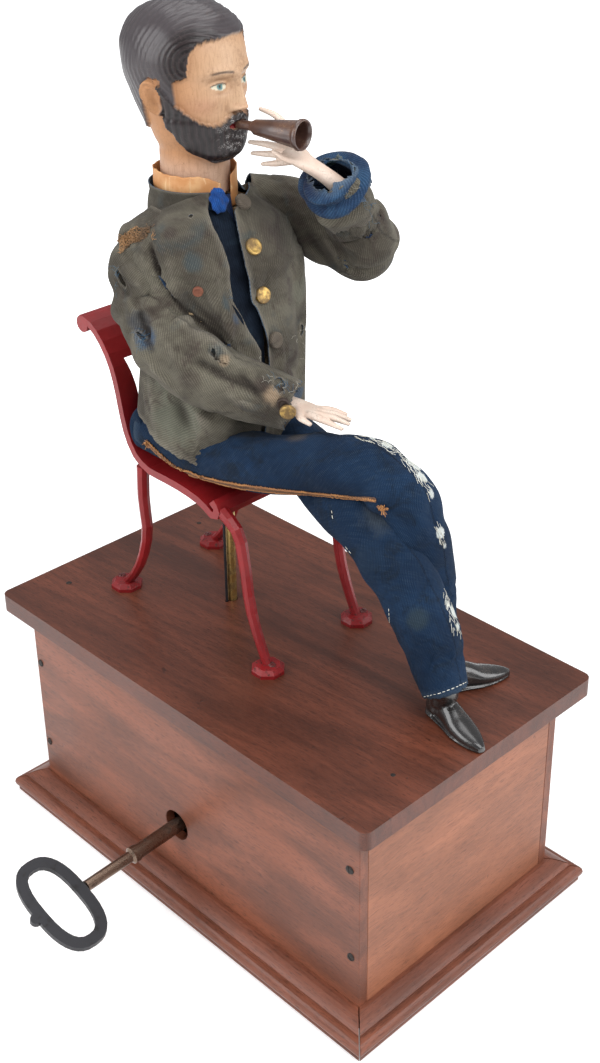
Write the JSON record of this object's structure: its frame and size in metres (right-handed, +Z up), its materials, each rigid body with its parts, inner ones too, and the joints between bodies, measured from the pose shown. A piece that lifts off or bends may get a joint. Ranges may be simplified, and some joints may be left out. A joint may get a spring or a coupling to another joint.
{
  "type": "mechanical smoking figure",
  "caption": "Seated clockwork smoking figure on an iron chair, on a wooden case with a winding key; the arm lifts a cigar and the head turns.",
  "frame": {"origin": "centre of the case's underside", "axes": "+X the way the figure faces, +Y its left, +Z up"},
  "size_m": [0.222, 0.1996, 0.3558],
  "materials": {
    "top_wood": "worn dark red-brown varnish over fine straight grain",
    "panel_wood": "worn varnish, mid brown with darker streaks",
    "moulding_wood": "worn varnish, red-brown with scuffed edges",
    "plain_wood": "bare softwood",
    "red_iron": "old gloss red paint, chipped to dark iron on edges",
    "dark_iron": "dark oxidised iron with worn bright spots",
    "steel": "dull bright steel",
    "spring_steel": "blued spring steel",
    "brass": "tarnished brass",
    "bellows_leather": "thin undyed leather",
    "jacket_cloth": "faded grey-green twill with brown and blue stains",
    "trouser_cloth": "worn dark blue twill with pale rubbed knees",
    "cravat_cloth": "deep blue plain cloth",
    "paper": "yellowed stiff paper, cracked at the front",
    "painted_face": "old oil paint on moulded composition, dark brown gloss on hair and beard",
    "painted_hand": "old cream-pink paint on cast metal",
    "boot_paint": "glossy black paint, worn at toe and edges",
    "cigar_paint": "dark brown lacquer on tinned sheet, rubbed to grey at the rim"
  },
  "bodies": {
    "case": {"top_board": "top_wood", "key_side_panel": "panel_wood", "far_side_panel": "panel_wood", "front_end_board": "panel_wood", "rear_end_board": "panel_wood", "bottom_board": "plain_wood", "key_side_moulding": "moulding_wood", "front_end_moulding": "moulding_wood", "far_side_moulding": "moulding_wood", "rear_end_moulding": "moulding_wood", "chair_seat_back": "red_iron", "chair_leg_rear_near": "red_iron", "chair_leg_rear_far": "red_iron", "chair_leg_front_near": "red_iron", "chair_leg_front_far": "red_iron", "smoke_tube": "brass", "torso_core": "plain_wood", "jacket_body": "jacket_cloth", "right_sleeve": "jacket_cloth", "right_hand": "painted_hand", "paper_collar": "paper", "cravat": "cravat_cloth", "right_trouser_leg": "trouser_cloth", "left_trouser_leg": "trouser_cloth", "right_boot": "boot_paint", "left_boot": "boot_paint", "front_plate": "brass", "back_plate": "brass", "movement_pillar_1": "brass", "movement_pillar_2": "brass", "movement_pillar_3": "brass", "movement_pillar_4": "brass", "mainspring": "spring_steel", "lever_stud": "steel", "bellows_bottom_board": "plain_wood", "bellows_leather": "bellows_leather", "bellows_pipe": "brass"},
    "head": {"head": "painted_face", "head_crank": "steel"},
    "left_arm": {"left_sleeve": "jacket_cloth", "left_hand": "painted_hand", "cigar_tube": "cigar_paint", "arm_shaft": "steel"},
    "wire": {"pull_wire": "dark_iron"},
    "lever": {"arm_lever": "steel"},
    "winding": {"winding_arbor": "steel", "ratchet_wheel": "steel"},
    "great": {"great_wheel": "brass", "click_spring": "spring_steel"},
    "click": {"click": "steel"},
    "second": {"second_arbor": "steel", "second_wheel": "brass", "crank_disc": "brass"},
    "third": {"third_wheel": "brass"},
    "fan": {"air_fan": "brass"},
    "bellows_top": {"bellows_top_board": "plain_wood"},
    "key": {"key_stem": "dark_iron", "key_bow": "dark_iron"}
  },
  "joints": [
    {"name": "head_turn", "type": "hinge", "parent": "case", "child": "head", "pos_m": [-0.046, 0.003, 0.29], "axis": [0, 0, 1], "range_deg": [-16, 0]},
    {"name": "arm_swing", "type": "hinge", "parent": "case", "child": "left_arm", "pos_m": [-0.042, 0.03, 0.277], "axis": [0, 1, 0], "range_deg": [0, 26.1]},
    {"name": "wire_pull", "type": "slide", "parent": "case", "child": "wire", "axis": [0, 0, 1], "range_m": [-0.0036, 0]},
    {"name": "lever_swing", "type": "hinge", "parent": "case", "child": "lever", "pos_m": [-0.0044, 0, 0.084], "axis": [0, 1, 0], "range_deg": [-6.7, 0]},
    {"name": "second_turn", "type": "hinge", "parent": "case", "child": "second", "pos_m": [0.01612, 0, 0.05109], "axis": [0, 1, 0], "continuous": true},
    {"name": "great_turn", "type": "hinge", "parent": "case", "child": "great", "pos_m": [-0.006, 0, 0.0356], "axis": [0, 1, 0], "continuous": true},
    {"name": "third_turn", "type": "hinge", "parent": "case", "child": "third", "pos_m": [0.03491, 0, 0.04425], "axis": [0, 1, 0], "continuous": true},
    {"name": "fan_turn", "type": "hinge", "parent": "case", "child": "fan", "pos_m": [0.04231, 0, 0.05706], "axis": [0, 1, 0], "continuous": true},
    {"name": "winding_turn", "type": "hinge", "parent": "case", "child": "winding", "pos_m": [-0.006, 0, 0.0356], "axis": [0, 1, 0], "continuous": true},
    {"name": "click_lift", "type": "hinge", "parent": "great", "child": "click", "pos_m": [0.00195, 0, 0.04832], "axis": [0, 1, 0], "range_deg": [0, 10], "stiffness_Nm_per_rad": 0.0004},
    {"name": "bellows_squeeze", "type": "hinge", "parent": "case", "child": "bellows_top", "pos_m": [0.022, 0.028, 0.011], "axis": [0, 1, 0], "range_deg": [-9, 0], "deforming": ["bellows_leather"]},
    {"name": "key_pull", "type": "slide", "parent": "winding", "child": "key", "axis": [0, -0.999, -0.0436], "range_m": [0, 0.03]}
  ],
  "couplings": [
    {"joint": "arm_swing", "follows": "head_turn", "ratio": -1.625},
    {"joint": "wire_pull", "follows": "head_turn", "m_per_rad": 0.01235},
    {"joint": "lever_swing", "follows": "head_turn", "ratio": 0.41167},
    {"joint": "great_turn", "follows": "second_turn", "ratio": -0.25},
    {"joint": "third_turn", "follows": "second_turn", "ratio": -3},
    {"joint": "fan_turn", "follows": "second_turn", "ratio": 9.3333}
  ]
}
